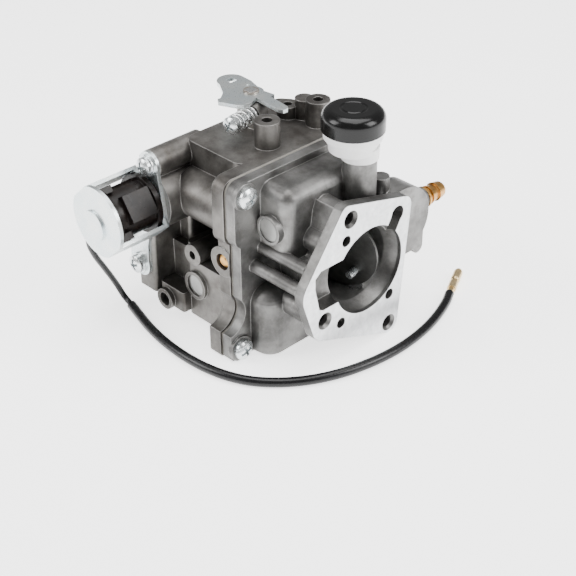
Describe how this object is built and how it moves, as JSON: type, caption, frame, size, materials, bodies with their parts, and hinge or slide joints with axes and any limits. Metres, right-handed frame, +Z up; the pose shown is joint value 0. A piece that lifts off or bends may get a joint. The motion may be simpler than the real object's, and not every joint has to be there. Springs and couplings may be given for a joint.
{
  "type": "carburetor",
  "caption": "Small-engine carburetor: two bolted castings with choke, throttle lever, float chamber, fuel inlet barb and fuel shut-off solenoid with its lead",
  "frame": {"origin": "centre of the air inlet bore, on the machined face of the inlet flange", "axes": "+X out of the inlet bore, away from the engine; +Z up along the choke and throttle shafts; +Y toward the fuel inlet barb"},
  "size_m": [0.1122, 0.1356, 0.0963],
  "materials": {
    "cast_rear": "satin cast alloy, brownish",
    "cast_front": "satin die casting with a machined face",
    "gasket": "thin dark gasket sheet",
    "zinc_screw": "zinc plated",
    "grey_plug": "pressed plug",
    "steel": "ground steel",
    "brass": "turned brass",
    "zinc_plate": "zinc plated sheet",
    "bronze_nut": "dulled bronze",
    "seal_rubber": "seal rubber",
    "spring_steel": "spring wire",
    "dark_steel": "dark plated sheet",
    "white_plastic": "satin moulded plastic",
    "black_rubber": "glossy moulded rubber",
    "needle_rubber": "rubber tipped needle",
    "float_plastic": "foamed plastic",
    "coil_plastic": "moulded bobbin",
    "lead_black": "insulated lead",
    "gold_terminal": "plated terminal"
  },
  "bodies": {
    "carburetor": {"throttle_body": "cast_rear", "inlet_body": "cast_front", "body_gasket": "gasket", "body_screws": "zinc_screw", "plug_front": "grey_plug", "plug_rear": "grey_plug", "throttle_shaft_seal": "seal_rubber", "idle_speed_spring": "spring_steel", "idle_mixture_spring": "spring_steel", "choke_shaft_seal": "seal_rubber", "fuel_inlet_barb": "brass", "needle_seat": "brass", "float_pin": "steel", "main_jet": "brass", "main_nozzle": "brass", "main_well_plug": "brass", "pilot_jet": "brass", "solenoid_frame": "zinc_plate", "solenoid_bracket": "zinc_plate", "solenoid_coil": "coil_plastic", "solenoid_core": "steel", "solenoid_seal": "seal_rubber", "solenoid_screws": "zinc_screw", "solenoid_washers": "zinc_screw", "lead_wire": "lead_black", "lead_sleeve": "lead_black", "lead_terminal": "gold_terminal"},
    "throttle": {"throttle_shaft": "steel", "throttle_plate": "brass", "throttle_plate_screws": "zinc_screw", "throttle_lever": "zinc_plate", "throttle_lever_nut": "bronze_nut"},
    "choke": {"choke_shaft": "steel", "choke_plate": "dark_steel", "choke_plate_screws": "zinc_screw", "choke_collar": "white_plastic", "choke_cap": "black_rubber"},
    "float_arm": {"float": "float_plastic"},
    "needle": {"inlet_needle": "needle_rubber"},
    "plunger": {"solenoid_plunger": "steel", "solenoid_spring": "spring_steel"},
    "idle_speed": {"idle_speed_screw": "zinc_screw"},
    "idle_mixture": {"idle_mixture_screw": "brass"}
  },
  "joints": [
    {"name": "throttle_turn", "type": "hinge", "parent": "carburetor", "child": "throttle", "pos_m": [-0.064, 0, 0], "axis": [0, 0, 1], "range_deg": [0, 75]},
    {"name": "choke_turn", "type": "hinge", "parent": "carburetor", "child": "choke", "pos_m": [-0.0115, 0.0055, 0], "axis": [0, 0, 1], "range_deg": [0, 70]},
    {"name": "float_swing", "type": "hinge", "parent": "carburetor", "child": "float_arm", "pos_m": [-0.026, 0.0232, -0.025], "axis": [-1, 0, 0], "range_deg": [0, 6]},
    {"name": "needle_lift", "type": "slide", "parent": "carburetor", "child": "needle", "axis": [0, 0, 1], "range_m": [0, 0.00045]},
    {"name": "plunger_slide", "type": "slide", "parent": "carburetor", "child": "plunger", "axis": [0, -1, 0], "range_m": [0, 0.0025], "stiffness_N_per_m": 200, "springref_m": -0.001},
    {"name": "idle_speed_turn", "type": "hinge", "parent": "carburetor", "child": "idle_speed", "pos_m": [-0.056, -0.0175, 0.0465], "axis": [-0.1392, 0.9903, 0], "range_deg": [-180, 180]},
    {"name": "idle_mixture_turn", "type": "hinge", "parent": "carburetor", "child": "idle_mixture", "pos_m": [-0.0378, -0.0404, 0.0043], "axis": [0, 1, 0], "range_deg": [-180, 180]}
  ],
  "couplings": [
    {"joint": "needle_lift", "follows": "float_swing", "m_per_rad": 0.004}
  ]
}
